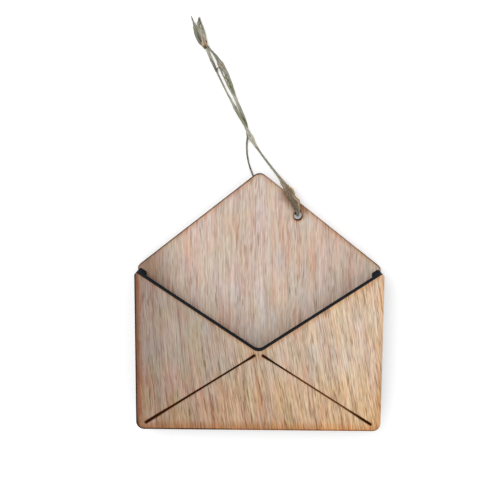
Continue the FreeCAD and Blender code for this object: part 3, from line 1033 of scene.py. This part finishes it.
class HOLDER_OT_tie_twine(Operator):
    """Make the twine: two strands, the knot and two frayed tails"""

    bl_idname = "holder.tie_twine"
    bl_label = "Tie twine"

    def tail(self, name, route, table, frayed, jute, twine, seed):
        """A tail whose bundles fray out over a share of its length."""
        luck = random.Random(seed)
        line = Line(smooth_line(route))
        fibres = Fibres()
        spin(fibres, line, table, twine, luck, frayed, spread=1.6)
        fray(fibres, line, table, luck, twine.tail_strays, reach=(0.6, 2.2))
        return settle(fibres.make(name, jute), f"twine_{name}")

    def knot(self, jute, twine):
        """The knot: two strands inside two rings, laid dark as painted shade, with a bar over them
        and dark yarns as painted shade in the hollows.
        """
        luck = random.Random(5)
        fibres = Fibres()
        for sign in (-1, 1):
            core = [
                (0.3, 0.3 * sign, 0),
                (1.2, 0.2 * sign, 0.1 * sign),
                (2.1, -0.2 * sign, -0.1),
                (3.0, -0.34 * sign, 0),
            ]
            spin(fibres, knot_line(core), CORE_LAY, twine, luck)
        # Each ring has eight points to a turn, and laps over its own start.
        width, height = RING_SIZE
        for middle, tilt in KNOT_RINGS:
            ring = []
            for step in range(10):
                angle = math.tau * step / 8 - 2.2
                aside = width * math.cos(angle)
                along = middle + aside * tilt + step * 0.03
                ring.append((along, aside, height * math.sin(angle)))
            spin(fibres, knot_line(ring), RING_LAY, twine, luck)
        spin(fibres, knot_line(KNOT_BAR), KNOT_LAY, twine, luck)
        for shade_yarn in KNOT_SHADE_YARNS:
            spin(fibres, knot_line(shade_yarn), SHADE_YARN_LAY, twine, luck)
        return settle(fibres.make("knot", jute), "twine_knot")

    def strand(self, name, route, table, jute, twine, seed, start, plies=()):
        """A strand between the hole and the knot, with strays from the start on, and its line."""
        luck = random.Random(seed)
        line = Line(smooth_line(route))
        fibres = Fibres()
        spin(fibres, line, table, twine, luck, spread=1.4)
        fray(fibres, line, table, luck, twine.strays, (start, math.inf))
        if plies:
            over = {"span": FUZZ, "reach": (0.4, 1.3), "tangle": 0.7}
            fray(fibres, line, table, luck, twine.strays * 8, **over)
            beside = {"span": SIDE_FUZZ, "reach": (0.5, 1.1), "tangle": 0.9, "leans": (-1.0, -0.7)}
            fray(fibres, line, table, luck, twine.strays * 2, **beside)
        for swing, lay in plies:
            ply = swung(line, swing)
            spin(fibres, ply, lay, twine, luck)
            fray(fibres, ply, lay, luck, twine.strays // 3, reach=(0.4, 0.9))
        return settle(fibres.make(name, jute), f"twine_{name}"), line

    def execute(self, context):
        twine = context.scene.holder_twine
        jute = jute_material(twine)
        knot = self.knot(jute, twine)
        left = self.tail("tail_left", LEFT_TAIL, LEFT_TAIL_LAY, 0.3, jute, twine, 21)
        right = self.tail("tail_right", RIGHT_TAIL, RIGHT_TAIL_LAY, 0.12, jute, twine, 22)
        front, over = self.strand(
            "front_strand", FRONT_STRAND, FRONT_LAY, jute, twine, 31, 3 * MM, PLIES
        )
        rear, under = self.strand("rear_strand", REAR_STRAND, REAR_LAY, jute, twine, 32, 20 * MM)
        return {"FINISHED"}


class HOLDER_OT_set_stage(Operator):
    """Set up the table, the light and the camera"""

    bl_idname = "holder.set_stage"
    bl_label = "Set stage"

    def table(self, context, stage):
        half = stage.table_size / 2
        mesh = bpy.data.meshes.new("table")
        corners = [(-half, -half, 0), (half, -half, 0), (half, half, 0), (-half, half, 0)]
        mesh.from_pydata(corners, [], [(0, 1, 2, 3)])
        table = bpy.data.objects.new("table", mesh)
        context.scene.collection.objects.link(table)
        material, shader = new_material("table_top")
        glow = {"Emission_Color": self.seen(shader), "Emission_Strength": stage.table_glow}
        shader.surface(stage.table_tone, 0.9, **glow)
        mesh.materials.append(material)

    def seen(self, shader):
        """1 for rays that show the background itself, and 0 for those that carry its light."""
        rays = shader.node("ShaderNodeLightPath", output="Is Camera Ray")
        return (rays + rays.output("Is Glossy Ray") + rays.output("Is Transmission Ray")).held()

    def sky(self, context, stage):
        world = bpy.data.worlds.new("studio")
        world.use_nodes = True
        context.scene.world = world
        shader = Shader(world.node_tree)
        light = (stage.sky, stage.sky, stage.sky)
        colour = shader.mix(self.seen(shader), light, (1.0, 1.0, 1.0))
        glow = shader.node("ShaderNodeBackground", inputs={"Color": colour, "Strength": 1.0})
        shader.node("ShaderNodeOutputWorld", inputs={"Surface": glow})

    def lamp(self, context, stage):
        lamp = bpy.data.lights.new("softbox", "AREA")
        lamp.shape = "DISK"
        lamp.size = stage.lamp_size
        lamp.energy = stage.lamp_power
        box = bpy.data.objects.new("softbox", lamp)
        box.location = stage.lamp_place
        way = Vector(stage.lamp_aim) - Vector(stage.lamp_place)
        box.rotation_euler = way.to_track_quat("-Z", "Y").to_euler()
        context.scene.collection.objects.link(box)

    def camera(self, context, stage):
        data = bpy.data.cameras.new("camera")
        data.lens = stage.lens
        data.shift_y = stage.rise
        data.clip_start = 0.01
        data.clip_end = 20.0
        camera = bpy.data.objects.new("camera", data)
        tilt, pan = stage.tilt, stage.pan
        aside = math.sin(pan) * math.cos(tilt)
        back = Vector((aside, math.sin(tilt), math.cos(tilt) * math.cos(pan))).normalized()
        right = Vector((0, 1, 0)).cross(back).normalized()
        turn = Matrix.Rotation(stage.roll, 4, "Z")
        axes = Matrix((right, back.cross(right), back)).transposed().to_4x4()
        place = Matrix.Translation(Vector(stage.aim) + back * stage.distance)
        camera.matrix_world = place @ axes @ turn
        context.scene.collection.objects.link(camera)
        context.scene.camera = camera

    def execute(self, context):
        stage = context.scene.holder_stage
        self.table(context, stage)
        self.sky(context, stage)
        self.lamp(context, stage)
        self.camera(context, stage)
        context.scene.view_settings.view_transform = "Standard"
        return {"FINISHED"}


STEPS = (
    HOLDER_OT_set_stage,
    HOLDER_OT_dress_back_panel,
    HOLDER_OT_dress_spacer,
    HOLDER_OT_dress_front_panel,
    HOLDER_OT_tie_twine,
)


class HOLDER_PT_sidebar(Panel):
    """The holder's steps and settings"""

    bl_idname = "HOLDER_PT_sidebar"
    bl_label = "Gift card holder"
    bl_space_type = "VIEW_3D"
    bl_region_type = "UI"
    bl_category = "Holder"

    def draw(self, context):
        layout = self.layout
        for step in STEPS:
            layout.operator(step.bl_idname)
        scene = context.scene
        for settings in (scene.holder_wood, scene.holder_twine, scene.holder_stage):
            box = layout.box()
            for name in settings.__annotations__:
                box.prop(settings, name)


CLASSES = (WoodSettings, TwineSettings, StageSettings, *STEPS, HOLDER_PT_sidebar)


def register():
    for item in CLASSES:
        bpy.utils.register_class(item)
    bpy.types.Scene.holder_wood = PointerProperty(type=WoodSettings)
    bpy.types.Scene.holder_twine = PointerProperty(type=TwineSettings)
    bpy.types.Scene.holder_stage = PointerProperty(type=StageSettings)


def unregister():
    del bpy.types.Scene.holder_stage
    del bpy.types.Scene.holder_twine
    del bpy.types.Scene.holder_wood
    for item in reversed(CLASSES):
        bpy.utils.unregister_class(item)


def main():
    register()
    bpy.ops.holder.set_stage()
    bpy.ops.holder.dress_back_panel()
    bpy.ops.holder.dress_spacer()
    bpy.ops.holder.dress_front_panel()
    bpy.ops.holder.tie_twine()


if __name__ == "__main__":
    main()
